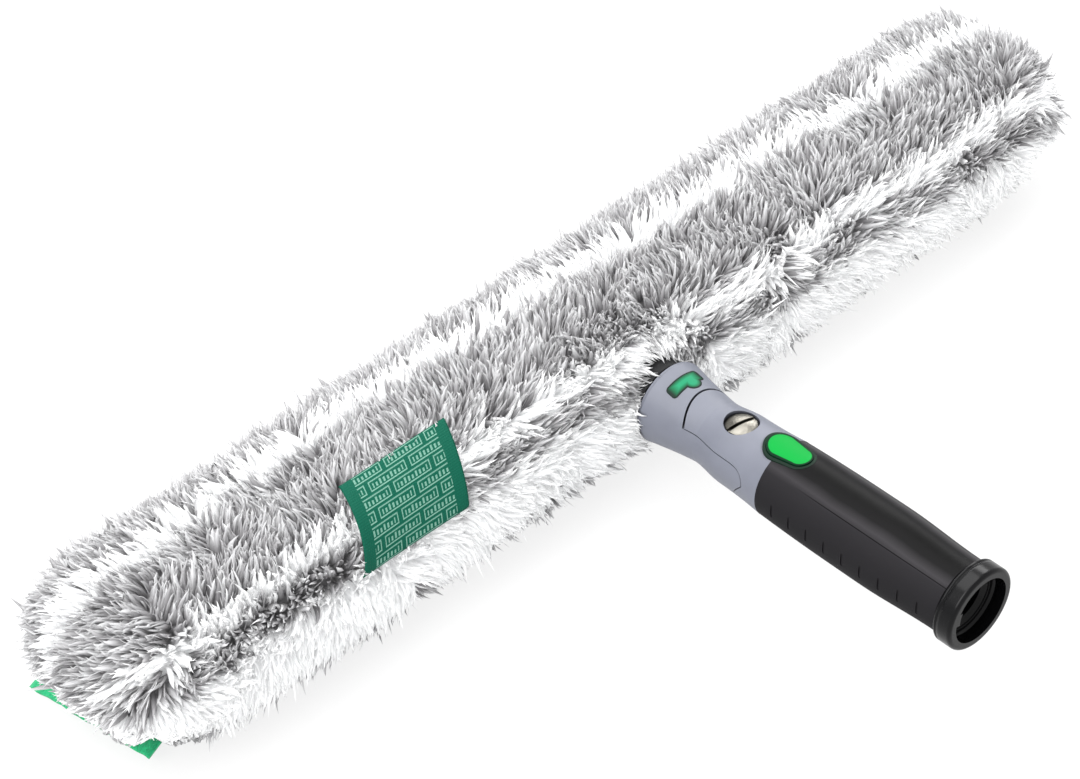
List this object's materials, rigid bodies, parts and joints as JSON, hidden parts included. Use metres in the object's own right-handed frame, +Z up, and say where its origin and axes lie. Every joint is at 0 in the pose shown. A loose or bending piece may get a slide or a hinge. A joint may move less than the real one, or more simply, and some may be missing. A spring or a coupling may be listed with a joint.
{
  "type": "window scrubber",
  "caption": "Window scrubber: a pile sleeve with grey and white stripes pulled over a T bar, on a short swivel handle with a thumb lock and a pole socket.",
  "frame": {"origin": "on the pole socket's axis, where its straight bore begins behind the flared mouth", "axes": "+Y runs along the handle from the mouth to the sleeve, +X runs along the bar, and +Z is up, the button's side"},
  "size_m": [0.478, 0.227, 0.0651],
  "materials": {
    "head_plastic": "matt",
    "grip_rubber": "soft, slight sheen",
    "socket_plastic": "gloss",
    "screw_steel": "satin",
    "plain_steel": "satin",
    "washer_plastic": "matt",
    "seat_plastic": "matt",
    "spring_steel": "bright",
    "button_plastic": "satin",
    "inlay_plastic": "satin",
    "bar_plastic": "matt",
    "cap_plastic": "matt",
    "backing_knit": "knitted",
    "binding_tape": "woven",
    "grey_pile": "long pile",
    "white_pile": "long pile",
    "tab_loop": "brushed loop",
    "hook_strip": "matt",
    "label_weave": "woven"
  },
  "bodies": {
    "handle": {"grip_core": "head_plastic", "grip_rubber": "grip_rubber", "pole_socket": "socket_plastic", "pivot_screw": "screw_steel", "pivot_nut": "plain_steel", "friction_washers": "washer_plastic", "button_seat": "seat_plastic", "button_spring": "spring_steel", "bolt_spring": "spring_steel"},
    "head": {"swivel_head": "head_plastic", "pivot_bush": "plain_steel", "head_inlay": "inlay_plastic", "tang_screws": "plain_steel", "tang_nuts": "plain_steel", "t_bar": "bar_plastic", "bar_cap_near": "cap_plastic", "bar_cap_far": "cap_plastic", "sleeve_backing": "backing_knit", "neck_binding": "binding_tape", "pile_grey": "grey_pile", "pile_white": "white_pile", "end_tab_near": "tab_loop", "end_tab_far": "tab_loop", "closure_hook_near": "hook_strip", "closure_hook_far": "hook_strip", "sleeve_label": "label_weave"},
    "button": {"lock_button": "button_plastic"},
    "bolt": {"lock_bolt": "plain_steel"}
  },
  "joints": [
    {"name": "head_swivel", "type": "hinge", "parent": "handle", "child": "head", "pos_m": [0, 0.101, 0], "axis": [0, 0, 1], "range_deg": [-80, 80]},
    {"name": "button_press", "type": "slide", "parent": "handle", "child": "button", "axis": [0, 0, -1], "range_m": [0, 0.002], "stiffness_N_per_m": 400, "deforming": ["button_spring"]},
    {"name": "bolt_slide", "type": "slide", "parent": "handle", "child": "bolt", "axis": [0, 1, 0], "range_m": [0, 0.002], "stiffness_N_per_m": 100, "deforming": ["bolt_spring"]}
  ],
  "couplings": [
    {"joint": "bolt_slide", "follows": "button_press", "ratio": 1}
  ]
}
